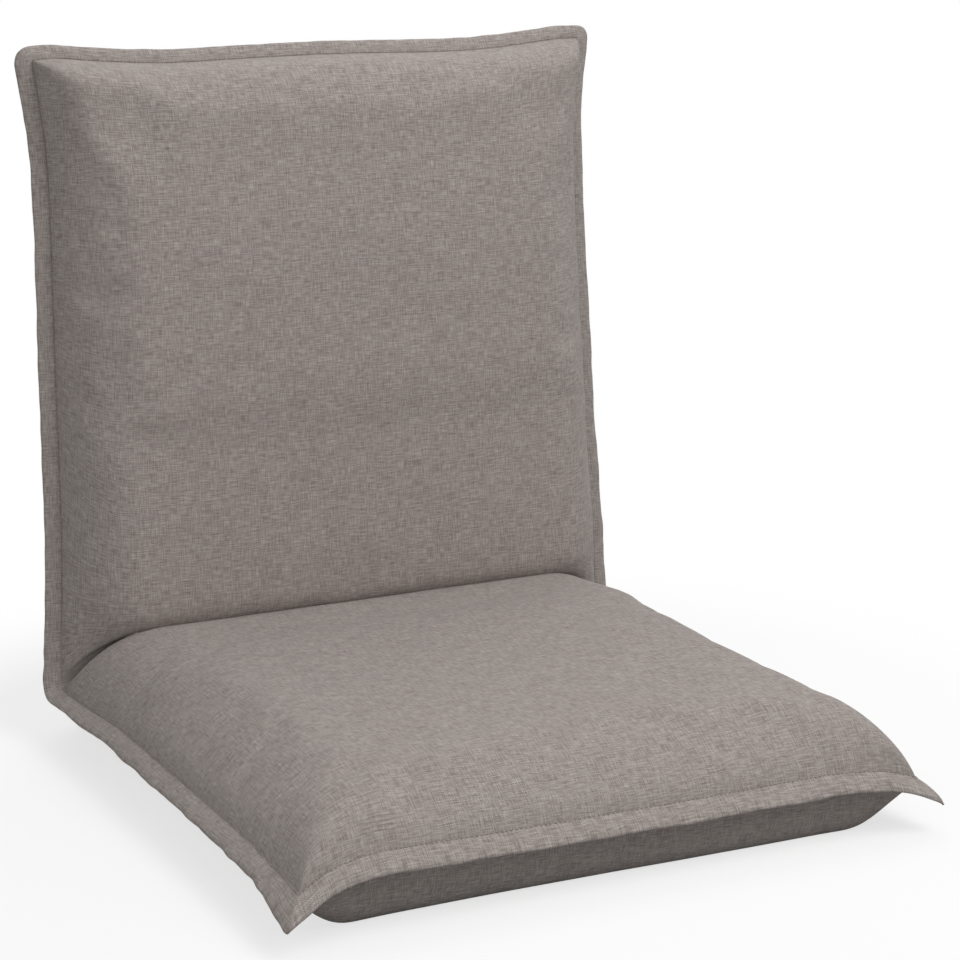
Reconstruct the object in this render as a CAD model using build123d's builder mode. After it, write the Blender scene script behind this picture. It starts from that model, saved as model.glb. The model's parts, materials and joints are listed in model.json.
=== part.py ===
"""Folding floor chair: a padded seat and back in one fabric cover, on two steel tube
frames joined by a pair of ratchet hinges, with a zip low on the rear of the back.

Millimetres. The chair faces -Y and +Z is up. The origin is on the floor, under the
middle of the seat. Left is -X, as seen by someone who looks at the front of the chair.
Inside each cushion, x runs across, v away from the hinge axis and w out of the seam
plane, towards the sitter. Angles about the hinge axis start along the seat.
"""

from build123d import *
from math import atan2, cos, degrees, hypot, pi, radians, sin
import os

# ------------------------------------------------------------------ driving dimensions
WIDTH = 490.0  # over the flange at the hinge
SEAT_DEPTH = 470.0  # hinge axis to the front edge of the flange
BACK_HEIGHT = 482.0  # hinge axis to the top edge of the flange
BACK_ANGLE = 95.0  # from the seat to the back as it stands
FLAT_ANGLE = 180.0  # back let right down
FOLDED_ANGLE = 25.0  # back folded forward on to the seat
CREASE = 62.0  # crease on the sitting side: the seat's end runs on under the back's
SEAT_DRAW = 3.0  # how far the seat's sides pull in between their ends
BACK_DRAW = 11.0  # the same on the back, which is stuffed harder
END_DRAW = 6.0  # the same at the seat's front and the back's top edge

# cover
FLANGE = 13.0  # width of the sewn flange
FLANGE_PLY = 1.5  # one of the flange's two plies
SKIN = 1.2  # cover fabric with its lining
EAR_RADIUS = 9.0  # corner of the flange
CORNER_RADIUS = 24.0  # corner of the cushion inside the flange
CORNER_GROWTH = 22.0  # how much rounder the corner is on top of the crown
CROWN = 52.0  # sitting side over the seam plane
CROWN_REACH = 88.0  # from the flange in to the top of the crown
BELLY = 36.5  # rear or under side below the seam plane, before it is pressed flat
BELLY_REACH = 52.0
PRESSED = 0.5  # how far the floor flattens the belly
CROWN_BANDS = 9  # bands of the crown from the flange up to its flat top
CROWN_SQUARE = 0.8  # its section is an oval: 1 is a plain one, and less is squarer
CREASE_RUN = 60.0  # straight stretch of the sides beside the crease

# foam
FOAM_GAP = 0.3  # foam to cover, and foam to frame

# tube frames
TUBE_RADIUS = 9.5
TUBE_WALL = 1.2
BEND_RADIUS = 50.0
FRAME_SIDE = 45.0  # side of the flange to the middle of a leg of the frame
FRAME_MARGIN = 62.0  # flange edge to the middle of the bent end
SEAT_TUBE_START = 49.0  # from the hinge axis
BACK_TUBE_START = 56.0
CROSS_RADIUS = 8.0
CROSS_WALL = 1.0
CROSS_NEAR = 125.0  # cross tubes, from the hinge axis
CROSS_FAR = 290.0

# ratchet hinge
GEAR_PLY = 4.0  # thickness of the gear plate and the pawl
PLATE_PLY = 2.0
PLATE_GAP = 0.2  # gear plate to housing plate
HOUSING_RADIUS = 28.0
NECK_RADIUS = 8.0  # from the housing's disc into its arm
AXLE_RADIUS = 4.0
RUNNING_GAP = 0.05  # on the radius, pin in hole
ROOT_RADIUS = 14.0
CREST_RADIUS = 17.0
STEP_ANGLE = 17.0  # travel of the back from one notch to the next
NOTCH_HALF = 5.5  # half the floor of a notch, degrees
NOTCH_SLOPE = 9.5  # where the notch's sloping side meets the crest, degrees
NOSE_ANGLE = -75.0  # where the pawl meets the gear plate
NOSE_GAP = 0.3  # pawl nose to the floor of the notch
NOSE_HALF = 1.0
NOSE_HEIGHT = 3.2
PAWL_LENGTH = 20.0
PAWL_BAR = 5.0
PAWL_EYE = 4.5
PAWL_TAIL = 8.0
PAWL_LIFT = 11.5  # from the bottom of a notch to clear of the gear, degrees
PIN_RADIUS = 2.0
PIN_HEAD = 3.2
AXLE_HEAD = 7.5
LOBE_ANGLE = -28.0  # the lobe that throws the pawl clear at the end of the fold
LOBE_RADIUS = 3.5
LOBE_CREST = 17.6
ARM_WIDTH = 16.0  # gear plate's arm in the slot of the back tube
ARM_LENGTH = 98.0
SLOT_LENGTH = 46.0
SOCKET_START = 46.0  # half-round sockets round the ends of the seat tube
SOCKET_LENGTH = 44.0
SOCKET_SEAT = 0.1  # socket to tube
SOCKET_PARTING = 0.3
SPRING_PLY = 0.5
SPRING_WIDTH = 3.6
SPRING_BOW = 2.6
SPRING_GAP = 0.3
RIVET_RADIUS = 2.5
RIVET_SEAT = 0.05
RIVET_HEAD = 4.4
HEAD_PLY = 1.6
RIVET_INSET = 14.0  # first arm rivet from the start of its tube
RIVET_PITCH = 20.0
HINGE_ROOM = 14.5  # half the pocket left in the foam round a hinge
HINGE_ROOM_END = 98.0

# zip
ZIP_HEIGHT = 78.0  # from the hinge axis up the rear of the back
ZIP_LENGTH = 300.0
ZIP_WIDTH = 6.0
ZIP_PLY = 1.4
ZIP_GAP = 0.3
ZIP_STOP = 4.0
SLIDER_LENGTH = 11.0
SLIDER_WIDTH = 8.4
SLIDER_PLY = 1.4
BRIDGE_WIDTH = 2.4
BRIDGE_LENGTH = 7.0
BRIDGE_HEIGHT = 3.4
BRIDGE_WIRE = 1.0
PULL_LENGTH = 26.0
PULL_WIDTH = 6.4
PULL_PLY = 1.3
PULL_SLOT = 5.6  # slot in the pull that clears the slider's bridge
PULL_RIM = 1.6

# ------------------------------------------------------------------ worked out from them
SIDES = {"left": -1, "right": 1}
SEAM_HEIGHT = BELLY - PRESSED  # flange plane of the seat over the floor
FRAME_SPREAD = WIDTH / 2 - FRAME_SIDE  # middle of the chair to the middle of a leg
HINGE_Y = SEAT_DEPTH / 2
HINGE = Vector(0, HINGE_Y, SEAM_HEIGHT)
HINGE_AXIS = Axis(HINGE, (1, 0, 0))
PARTING = 0.3  # seat pieces to back pieces in the plane of the hinge axis
FOLD_GAP = 0.4  # degrees between the bevels with the back folded
BEVEL = FOLDED_ANGLE / 2 - FOLD_GAP
NOTCHES = round((FLAT_ANGLE - BACK_ANGLE) / STEP_ANGLE) + 1  # one at each rest, upright and flat too
PLATE_X = GEAR_PLY / 2 + PLATE_GAP + PLATE_PLY / 2  # middle of the gear to middle of a plate
STACK = PLATE_X + PLATE_PLY / 2  # middle of the gear to the outside of a plate
SOCKET_RADIUS = TUBE_RADIUS + SOCKET_SEAT + PLATE_PLY
OVERRUN = CREASE_RUN  # cushions are made this far past the hinge, then cut

os.makedirs("parts", exist_ok=True)


# ------------------------------------------------------------------ planes and directions
def fan_direction(angle):
    """Unit vector that leaves the hinge axis at an angle from the seat."""
    return Vector(0, -cos(radians(angle)), sin(radians(angle)))


def cushion_plane(angle):
    """Seam plane of the cushion at an angle: local y runs away from the hinge, z to the sitter."""
    away = fan_direction(angle)
    sitter = fan_direction(angle + 90) if angle < 45 else fan_direction(angle - 90)
    return Plane(origin=HINGE, x_dir=away.cross(sitter), z_dir=sitter)


def fan_plane(angle, shift=0.0):
    """Plane through the hinge axis at an angle, moved by shift towards greater angles."""
    normal = fan_direction(angle + 90)
    return Plane(origin=HINGE + normal * shift, x_dir=(1, 0, 0), z_dir=normal)


def hinge_plane(x, angle=0.0):
    """Plane across the hinge axis at x: local x leaves the axis at the angle, y turns with it."""
    origin = HINGE + Vector(x, 0, 0)
    return Plane(origin=origin, x_dir=fan_direction(angle), z_dir=(-1, 0, 0))


def tube_plane(x, angle, distance):
    """Plane square to a frame's leg: local x runs along X, local z away from the hinge."""
    origin = HINGE + Vector(x, 0, 0) + fan_direction(angle) * distance
    return Plane(origin=origin, x_dir=(1, 0, 0), z_dir=fan_direction(angle))


def on_circle(radius, angle):
    """Point of a hinge sketch at a radius and an angle."""
    return (radius * cos(radians(angle)), radius * sin(radians(angle)))


SEAT = cushion_plane(0)
BACK = cushion_plane(BACK_ANGLE)


# ------------------------------------------------------------------ cushions
def cushion_outline(plane, length, draw, inset, corner):
    """Plan of a cushion, with its sides and far edge drawn in between the corners."""
    half = WIDTH / 2 - inset
    far = length - inset
    with BuildSketch(plane) as plan:
        with BuildLine():
            Polyline((-half, CREASE_RUN), (-half, -OVERRUN), (half, -OVERRUN), (half, CREASE_RUN))
            ThreePointArc((half, CREASE_RUN), (half - draw, (CREASE_RUN + far) / 2), (half, far))
            ThreePointArc((half, far), (0, far - END_DRAW), (-half, far))
            ThreePointArc((-half, far), (draw - half, (CREASE_RUN + far) / 2), (-half, CREASE_RUN))
        make_face()
        fillet(plan.vertices().sort_by(Axis.Y)[-2:], corner)
    return plan.sketch


def crown_steps(reach, rise, depth):
    """Inset and height of each section of a crown, at a depth under its outer skin."""
    steps = []
    for band in range(CROWN_BANDS + 1):
        across, up = (abs(turn(pi / 2 * band / CROWN_BANDS)) ** CROWN_SQUARE for turn in (cos, sin))
        steps.append(Vector(FLANGE + (1 - across) * reach, up * rise))
    sunk = []
    for number, step in enumerate(steps):
        along = (steps[min(number + 1, len(steps) - 1)] - steps[max(number - 1, 0)]).normalized()
        sunk.append(step + Vector(along.Y, -along.X) * depth)
    return sunk


def crown(plane, length, draw, reach, rise, depth, mode=Mode.ADD):
    """Crowned side of a cushion as a loft of its plans, sunk by depth under the skin."""
    side = 1 if rise > 0 else -1
    sections = []
    for step in crown_steps(reach, abs(rise), depth):
        corner = CORNER_RADIUS + CORNER_GROWTH * (step.X - FLANGE) / reach
        sections.append(cushion_outline(plane.offset(side * step.Y), length, draw, step.X, corner))
    loft(sections=sections, ruled=True, mode=mode)


def cover_half(plane, length, draw, reach, rise):
    """One panel of the cover: its crowned skin and its ply of the flange."""
    with BuildPart() as panel:
        crown(plane, length, draw, reach, rise, 0)
        flange = cushion_outline(plane, length, draw, 0, EAR_RADIUS)
        extrude(flange, amount=FLANGE_PLY if rise > 0 else -FLANGE_PLY)
        crown(plane, length, draw, reach, rise, SKIN, Mode.SUBTRACT)
        split(bisect_by=plane, keep=Keep.TOP if rise > 0 else Keep.BOTTOM)
    return panel.part


def frame_path(length, start):
    """Centre line of a frame's bent tube, in its cushion's plane."""
    far = length - FRAME_MARGIN
    corners = ((FRAME_SPREAD, start), (FRAME_SPREAD, far), (-FRAME_SPREAD, far), (-FRAME_SPREAD, start))
    return FilletPolyline(*corners, radius=BEND_RADIUS)


def foam_half(plane, length, draw, reach, rise, angle, start):
    """Foam on one side of a frame, with grooves for its tubes and pockets for the hinges."""
    with BuildPart() as slab:
        crown(plane, length, draw, reach, rise, SKIN + FOAM_GAP)
        split(bisect_by=plane, keep=Keep.TOP if rise > 0 else Keep.BOTTOM)
        with BuildLine(plane):
            frame_path(length, start)
        with BuildSketch(tube_plane(plane.x_dir.X * FRAME_SPREAD, angle, start)):
            Circle(TUBE_RADIUS + FOAM_GAP)
        sweep(mode=Mode.SUBTRACT)
        for distance in (CROSS_NEAR, CROSS_FAR):
            with BuildSketch(hinge_plane(0, angle)):
                with Locations((distance, 0)):
                    Circle(CROSS_RADIUS + FOAM_GAP)
        extrude(amount=FRAME_SPREAD, both=True, mode=Mode.SUBTRACT)
        hinge_pockets(angle)
    return slab.part


def hinge_pockets(angle):
    """Cut the room for both hinges and their arms out of the foam."""
    for side in SIDES.values():
        with BuildSketch(hinge_plane(side * FRAME_SPREAD, angle)) as pocket:
            Circle(HOUSING_RADIUS + SOCKET_PARTING)
            with Locations((HINGE_ROOM_END / 2, 0)):
                Rectangle(HINGE_ROOM_END, 2 * HINGE_ROOM)
        extrude(pocket.sketch, amount=HINGE_ROOM, both=True, mode=Mode.SUBTRACT)


seat_shape = (SEAT, SEAT_DEPTH, SEAT_DRAW)
back_shape = (BACK, BACK_HEIGHT, BACK_DRAW)
seat_top_panel = cover_half(*seat_shape, CROWN_REACH, CROWN)
seat_base_panel = cover_half(*seat_shape, BELLY_REACH, -BELLY)
back_front_panel = cover_half(*back_shape, CROWN_REACH, CROWN)
back_rear_panel = cover_half(*back_shape, BELLY_REACH, -BELLY)
seat_top_slab = foam_half(*seat_shape, CROWN_REACH, CROWN, 0, SEAT_TUBE_START)
seat_base_slab = foam_half(*seat_shape, BELLY_REACH, -BELLY, 0, SEAT_TUBE_START)
back_front_slab = foam_half(*back_shape, CROWN_REACH, CROWN, BACK_ANGLE, BACK_TUBE_START)
back_rear_slab = foam_half(*back_shape, BELLY_REACH, -BELLY, BACK_ANGLE, BACK_TUBE_START)

SEAT_BEVEL = fan_plane(BEVEL)
BACK_BEVEL = fan_plane(BACK_ANGLE - BEVEL)
SEAT_END = fan_plane(-90, PARTING)
BACK_END = fan_plane(BACK_ANGLE + 90, -PARTING)
SEAT_CREASE = fan_plane(CREASE, -PARTING / 2)
BACK_CREASE = fan_plane(CREASE, PARTING / 2)

# Sitting side of each cushion: the stiff part ends on a bevel, so that the two close
# on each other when the chair is folded. The heels between the bevels are squeezed.
with BuildPart() as seat_cover_top:
    add(seat_top_panel)
    split(bisect_by=SEAT_BEVEL, keep=Keep.BOTTOM)
seat_cover_top.part.label = "seat_cover_top"
export_step(seat_cover_top.part, "parts/seat_cover_top.step")

with BuildPart() as seat_foam_top:
    add(seat_top_slab)
    split(bisect_by=SEAT_BEVEL, keep=Keep.BOTTOM)
seat_foam_top.part.label = "seat_foam_top"
export_step(seat_foam_top.part, "parts/seat_foam_top.step")

with BuildPart() as back_cover_front:
    add(back_front_panel)
    split(bisect_by=BACK_BEVEL, keep=Keep.TOP)
back_cover_front.part.label = "back_cover_front"
export_step(back_cover_front.part, "parts/back_cover_front.step")

with BuildPart() as back_foam_front:
    add(back_front_slab)
    split(bisect_by=BACK_BEVEL, keep=Keep.TOP)
back_foam_front.part.label = "back_foam_front"
export_step(back_foam_front.part, "parts/back_foam_front.step")


def heel(solid, low, high, room=None):
    """Soft end of a cushion piece, from its bevel to the crease."""
    with BuildPart() as wedge:
        add(solid)
        split(bisect_by=low, keep=Keep.TOP)
        split(bisect_by=high, keep=Keep.BOTTOM)
        if room is not None:
            hinge_pockets(room)
    return wedge.part


HEELS = {
    "seat_cover_heel": heel(seat_top_panel, SEAT_BEVEL, SEAT_CREASE),
    "back_cover_heel": heel(back_front_panel, BACK_CREASE, BACK_BEVEL),
    "seat_foam_heel": heel(seat_top_slab, SEAT_BEVEL, SEAT_CREASE, BACK_ANGLE),
    "back_foam_heel": heel(back_front_slab, BACK_CREASE, BACK_BEVEL, 0),
}
for name, wedge in HEELS.items():
    wedge.label = name
    export_step(wedge, f"parts/{name}.step")

# Under and rear side, pressed flat where the chair stands or lies.
SEAT_PRESSED = SEAT.offset(-SEAM_HEIGHT)
BACK_PRESSED = BACK.offset(-SEAM_HEIGHT)
ZIP_PLANE = Plane(
    origin=BACK_PRESSED.from_local_coords((0, ZIP_HEIGHT, 0)), x_dir=(1, 0, 0), z_dir=-BACK.z_dir
)

with BuildPart() as seat_cover_base:
    add(seat_base_panel)
    split(bisect_by=SEAT_END, keep=Keep.TOP)
    split(bisect_by=SEAT_PRESSED, keep=Keep.TOP)
seat_cover_base.part.label = "seat_cover_base"
export_step(seat_cover_base.part, "parts/seat_cover_base.step")

with BuildPart() as seat_foam_base:
    add(seat_base_slab)
    split(bisect_by=SEAT_END, keep=Keep.TOP)
seat_foam_base.part.label = "seat_foam_base"
export_step(seat_foam_base.part, "parts/seat_foam_base.step")

with BuildPart() as back_cover_rear:
    add(back_rear_panel)
    split(bisect_by=BACK_END, keep=Keep.BOTTOM)
    split(bisect_by=BACK_PRESSED, keep=Keep.TOP)
    with BuildSketch(ZIP_PLANE):
        Rectangle(ZIP_LENGTH + 2 * ZIP_GAP, ZIP_WIDTH + 2 * ZIP_GAP)
    extrude(amount=-SKIN - FOAM_GAP, mode=Mode.SUBTRACT)
back_cover_rear.part.label = "back_cover_rear"
export_step(back_cover_rear.part, "parts/back_cover_rear.step")

with BuildPart() as back_foam_rear:
    add(back_rear_slab)
    split(bisect_by=BACK_END, keep=Keep.BOTTOM)
back_foam_rear.part.label = "back_foam_rear"
export_step(back_foam_rear.part, "parts/back_foam_rear.step")

# The rear panel bends round the hinges, from the end of the seat to the foot of the back.
seat_end_face = seat_cover_base.faces().sort_by(Axis.Y)[-1]
with BuildPart() as cover_crease_rear:
    revolve(seat_end_face, axis=HINGE_AXIS, revolution_arc=180 - BACK_ANGLE)
cover_crease_rear.part.label = "cover_crease_rear"
export_step(cover_crease_rear.part, "parts/cover_crease_rear.step")


# ------------------------------------------------------------------ tube frames
def bent_frame(plane, length, angle, start):
    """Bent tube of one frame, open at the hinge."""
    with BuildPart() as bend:
        with BuildLine(plane):
            frame_path(length, start)
        with BuildSketch(tube_plane(plane.x_dir.X * FRAME_SPREAD, angle, start)):
            Circle(TUBE_RADIUS)
            Circle(TUBE_RADIUS - TUBE_WALL, mode=Mode.SUBTRACT)
        sweep()
        drill_rivet_holes(angle, start)
    return bend.part


def rivet_places(start):
    """Distances of the two arm rivets of a leg from the hinge axis."""
    return (start + RIVET_INSET, start + RIVET_INSET + RIVET_PITCH)


def drill_rivet_holes(angle, start):
    """Drill the arm rivets' holes across both legs of a frame."""
    with BuildSketch(hinge_plane(0, angle)) as holes:
        with Locations(*((distance, 0) for distance in rivet_places(start))):
            Circle(RIVET_RADIUS + RIVET_SEAT)
    extrude(holes.sketch, amount=WIDTH / 2, both=True, mode=Mode.SUBTRACT)


def cross_tube(distance, angle):
    """Cross tube between the legs of a frame, coped to fit them."""
    with BuildPart() as tube:
        with BuildSketch(hinge_plane(0, angle)):
            with Locations((distance, 0)):
                Circle(CROSS_RADIUS)
                Circle(CROSS_RADIUS - CROSS_WALL, mode=Mode.SUBTRACT)
        extrude(amount=FRAME_SPREAD, both=True)
        for side in SIDES.values():
            with BuildSketch(tube_plane(side * FRAME_SPREAD, angle, distance)) as leg:
                Circle(TUBE_RADIUS)
            extrude(leg.sketch, amount=2 * CROSS_RADIUS, both=True, mode=Mode.SUBTRACT)
    return tube.part


with BuildPart() as seat_frame_tube:
    add(bent_frame(SEAT, SEAT_DEPTH, 0, SEAT_TUBE_START))
seat_frame_tube.part.label = "seat_frame_tube"
export_step(seat_frame_tube.part, "parts/seat_frame_tube.step")

with BuildPart() as back_frame_tube:
    add(bent_frame(BACK, BACK_HEIGHT, BACK_ANGLE, BACK_TUBE_START))
    for side in SIDES.values():
        with BuildSketch(hinge_plane(side * FRAME_SPREAD, BACK_ANGLE)):
            with Locations((BACK_TUBE_START + SLOT_LENGTH / 2, 0)):
                Rectangle(SLOT_LENGTH, 2 * TUBE_RADIUS)
    extrude(amount=GEAR_PLY / 2 + PLATE_GAP, both=True, mode=Mode.SUBTRACT)
back_frame_tube.part.label = "back_frame_tube"
export_step(back_frame_tube.part, "parts/back_frame_tube.step")

CROSS_TUBES = {
    "seat_cross_tube_rear": (CROSS_NEAR, 0),
    "seat_cross_tube_front": (CROSS_FAR, 0),
    "back_cross_tube_low": (CROSS_NEAR, BACK_ANGLE),
    "back_cross_tube_high": (CROSS_FAR, BACK_ANGLE),
}
for name, (distance, angle) in CROSS_TUBES.items():
    cross = cross_tube(distance, angle)
    cross.label = name
    export_step(cross, f"parts/{name}.step")


# ------------------------------------------------------------------ ratchet hinges
NOSE_REACH = ROOT_RADIUS + NOSE_GAP  # radius of the pawl's nose at the bottom of a notch
PIVOT_ANGLE = NOSE_ANGLE + degrees(atan2(PAWL_LENGTH, NOSE_REACH))
PIVOT = on_circle(hypot(PAWL_LENGTH, NOSE_REACH), PIVOT_ANGLE)
PAWL_ANGLE = NOSE_ANGLE - 90 + PAWL_LIFT  # from pivot to nose, with the pawl lifted clear


def housing_plate(side, face):
    """Stamped housing plate on one face of the gear, with a half-round socket for the tube."""
    middle = side * FRAME_SPREAD + face * PLATE_X
    with BuildPart() as plate:
        with BuildSketch(hinge_plane(middle)) as blank:
            Circle(HOUSING_RADIUS)
            with Locations((SOCKET_START / 2, 0)):
                Rectangle(SOCKET_START, 2 * SOCKET_RADIUS)
            fillet(blank.vertices().filter_by_position(Axis.X, 0, SOCKET_START - 1), NECK_RADIUS)
            Circle(AXLE_RADIUS + RUNNING_GAP, mode=Mode.SUBTRACT)
            with Locations(PIVOT):
                Circle(PIN_RADIUS + RUNNING_GAP, mode=Mode.SUBTRACT)
        extrude(amount=PLATE_PLY / 2, both=True)
        with BuildSketch(tube_plane(side * FRAME_SPREAD, 0, SOCKET_START)):
            Circle(SOCKET_RADIUS)
        extrude(amount=SOCKET_LENGTH)
        with BuildSketch(tube_plane(side * FRAME_SPREAD, 0, SOCKET_START + PLATE_PLY)):
            Circle(TUBE_RADIUS + SOCKET_SEAT)
        extrude(amount=SOCKET_LENGTH, mode=Mode.SUBTRACT)
        parting = Plane(origin=HINGE + Vector(side * FRAME_SPREAD + face * SOCKET_PARTING, 0, 0),
                        x_dir=(0, 1, 0), z_dir=(face, 0, 0))
        split(bisect_by=parting, keep=Keep.TOP)
        drill_rivet_holes(0, SEAT_TUBE_START)
    return plate.part


def gear_plate(side):
    """Toothed plate on the axle, with the arm that carries the back's frame."""
    first = NOSE_ANGLE - STEP_ANGLE * NOTCHES
    with BuildPart() as plate:
        with BuildSketch(hinge_plane(side * FRAME_SPREAD)):
            Circle(ROOT_RADIUS)
            for number in range(NOTCHES + 1):
                notch = first + STEP_ANGLE * number
                with BuildLine():
                    Polyline(
                        on_circle(ROOT_RADIUS - 1, notch + NOTCH_HALF),
                        on_circle(ROOT_RADIUS, notch + NOTCH_HALF),
                        on_circle(CREST_RADIUS, notch + NOTCH_SLOPE),
                        on_circle(CREST_RADIUS, notch + STEP_ANGLE - NOTCH_HALF),
                        on_circle(ROOT_RADIUS - 1, notch + STEP_ANGLE - NOTCH_HALF),
                        close=True,
                    )
                make_face()
            with Locations(on_circle(LOBE_CREST - LOBE_RADIUS, LOBE_ANGLE)):
                Circle(LOBE_RADIUS)
            with Locations(Location(on_circle(ARM_LENGTH / 2, BACK_ANGLE), (0, 0, BACK_ANGLE))):
                Rectangle(ARM_LENGTH, ARM_WIDTH)
            Circle(AXLE_RADIUS + RUNNING_GAP, mode=Mode.SUBTRACT)
        extrude(amount=GEAR_PLY / 2, both=True)
        drill_rivet_holes(BACK_ANGLE, BACK_TUBE_START)
    return plate.part


def pawl(side):
    """Pawl, lifted clear of the gear: an eye, a bar with the nose at its end, and a tail."""
    pivot = hinge_plane(side * FRAME_SPREAD).from_local_coords((*PIVOT, 0))
    lifted = Plane(origin=pivot, x_dir=fan_direction(PAWL_ANGLE), z_dir=(-1, 0, 0))
    back_of_bar = NOSE_HEIGHT + PAWL_BAR
    end = PAWL_LENGTH + 2 * NOSE_HALF
    with BuildPart() as lever:
        with BuildSketch(lifted):
            Circle(PAWL_EYE)
            with BuildLine():
                Polyline(
                    (0, PAWL_EYE), (-PAWL_TAIL, NOSE_HALF), (-PAWL_TAIL, -NOSE_HALF), (0, -PAWL_EYE),
                    (PAWL_EYE, 0), (PAWL_LENGTH - 2.6 * NOSE_HALF, NOSE_HEIGHT),
                    (PAWL_LENGTH - NOSE_HALF, 0), (PAWL_LENGTH + NOSE_HALF, 0),
                    (end, back_of_bar - NOSE_HALF), (PAWL_LENGTH, back_of_bar), close=True,
                )
            make_face()
            Circle(PIN_RADIUS + RUNNING_GAP, mode=Mode.SUBTRACT)
        extrude(amount=GEAR_PLY / 2, both=True)
    return lever.part


def pawl_spring(side):
    """Bowed strip between the pawl's tail and the socket, which snaps the pawl over."""
    tail = Vector(*PIVOT) - Vector(*on_circle(PAWL_TAIL + SPRING_GAP, PAWL_ANGLE))
    foot = Vector(SOCKET_START - SPRING_GAP, tail.Y)
    middle = (tail + foot) / 2
    with BuildPart() as strip:
        with BuildSketch(hinge_plane(side * FRAME_SPREAD)):
            with BuildLine():
                ThreePointArc(tail, middle + Vector(0, SPRING_BOW), foot)
                Line(foot, foot + Vector(0, SPRING_PLY))
                ThreePointArc(
                    foot + Vector(0, SPRING_PLY), middle + Vector(0, SPRING_BOW + SPRING_PLY),
                    tail + Vector(0, SPRING_PLY),
                )
                Line(tail + Vector(0, SPRING_PLY), tail)
            make_face()
        extrude(amount=SPRING_WIDTH / 2, both=True)
    return strip.part


def headed_pin(side, place, radius, head_radius, half_length):
    """Pin across the hinge with a head on each end."""
    with BuildPart() as pin:
        with BuildSketch(hinge_plane(side * FRAME_SPREAD)):
            with Locations(place):
                Circle(radius)
        extrude(amount=half_length, both=True)
        for face in SIDES.values():
            with BuildSketch(hinge_plane(side * FRAME_SPREAD + face * (half_length + HEAD_PLY / 2))) as head:
                with Locations(place):
                    Circle(head_radius)
            extrude(head.sketch, amount=HEAD_PLY / 2, both=True)
    return pin.part


for name, side in SIDES.items():
    hinge_pieces = {
        "hinge_outer_plate": housing_plate(side, side),
        "hinge_inner_plate": housing_plate(side, -side),
        "gear_plate": gear_plate(side),
        "pawl": pawl(side),
        "pawl_spring": pawl_spring(side),
        "pawl_pin": headed_pin(side, PIVOT, PIN_RADIUS, PIN_HEAD, STACK),
        "axle_rivet": headed_pin(side, (0, 0), AXLE_RADIUS, AXLE_HEAD, STACK),
    }
    for piece, solid in hinge_pieces.items():
        solid.label = f"{piece}_{name}"
        export_step(solid, f"parts/{piece}_{name}.step")


def arm_rivets(start, angle, half_length):
    """All four rivets that hold the ends of one frame in its hinge arms."""
    with BuildPart() as rivets:
        for side in SIDES.values():
            for distance in rivet_places(start):
                place = hinge_plane(0).to_local_coords(HINGE + fan_direction(angle) * distance)
                add(headed_pin(side, (place.X, place.Y), RIVET_RADIUS, RIVET_HEAD, half_length))
    return rivets.part


seat_rivets = arm_rivets(SEAT_TUBE_START, 0, SOCKET_RADIUS)
seat_rivets.label = "seat_arm_rivets"
export_step(seat_rivets, "parts/seat_arm_rivets.step")
back_rivets = arm_rivets(BACK_TUBE_START, BACK_ANGLE, TUBE_RADIUS)
back_rivets.label = "back_arm_rivets"
export_step(back_rivets, "parts/back_arm_rivets.step")


# ------------------------------------------------------------------ zip
CHAIN_BED = -(BELLY - PRESSED - (BELLY - SKIN - FOAM_GAP)) + ZIP_GAP  # chain's underside
CHAIN_TOP = CHAIN_BED + ZIP_PLY
SLIDER_BED = CHAIN_TOP + ZIP_GAP
SLIDER_TOP = SLIDER_BED + SLIDER_PLY
CLOSED_X = -(ZIP_LENGTH / 2 - ZIP_STOP - SLIDER_LENGTH / 2 - ZIP_GAP)
PIVOT_LIFT = SLIDER_TOP + ZIP_GAP + PULL_PLY / 2

with BuildPart() as zip_chain:
    with BuildSketch(ZIP_PLANE.offset(CHAIN_BED)):
        Rectangle(ZIP_LENGTH, ZIP_WIDTH)
    extrude(amount=ZIP_PLY)
    with BuildSketch(ZIP_PLANE.offset(CHAIN_BED)):
        with Locations(*((side * (ZIP_LENGTH - ZIP_STOP) / 2, 0) for side in SIDES.values())):
            Rectangle(ZIP_STOP, ZIP_WIDTH)
    extrude(amount=SLIDER_BED - CHAIN_BED + SLIDER_PLY / 2)
zip_chain.part.label = "zip_chain"
export_step(zip_chain.part, "parts/zip_chain.step")

with BuildPart() as zip_slider:
    with BuildSketch(ZIP_PLANE.offset(ZIP_GAP)):
        with Locations((CLOSED_X, 0)):
            SlotOverall(SLIDER_LENGTH, SLIDER_WIDTH)
    extrude(amount=SLIDER_TOP - ZIP_GAP)
    with BuildSketch(ZIP_PLANE):
        Rectangle(ZIP_LENGTH, ZIP_WIDTH + 2 * ZIP_GAP)
    extrude(amount=SLIDER_BED, mode=Mode.SUBTRACT)
    with BuildSketch(Plane(origin=ZIP_PLANE.origin, x_dir=(1, 0, 0), z_dir=-ZIP_PLANE.y_dir)):
        with Locations((CLOSED_X, SLIDER_TOP + BRIDGE_HEIGHT / 2)):
            Rectangle(BRIDGE_LENGTH, BRIDGE_HEIGHT)
        with Locations((CLOSED_X, SLIDER_TOP + (BRIDGE_HEIGHT - BRIDGE_WIRE) / 2)):
            Rectangle(BRIDGE_LENGTH - 2 * BRIDGE_WIRE, BRIDGE_HEIGHT - BRIDGE_WIRE, mode=Mode.SUBTRACT)
    extrude(amount=BRIDGE_WIDTH / 2, both=True)
zip_slider.part.label = "zip_slider"
export_step(zip_slider.part, "parts/zip_slider.step")

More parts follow.
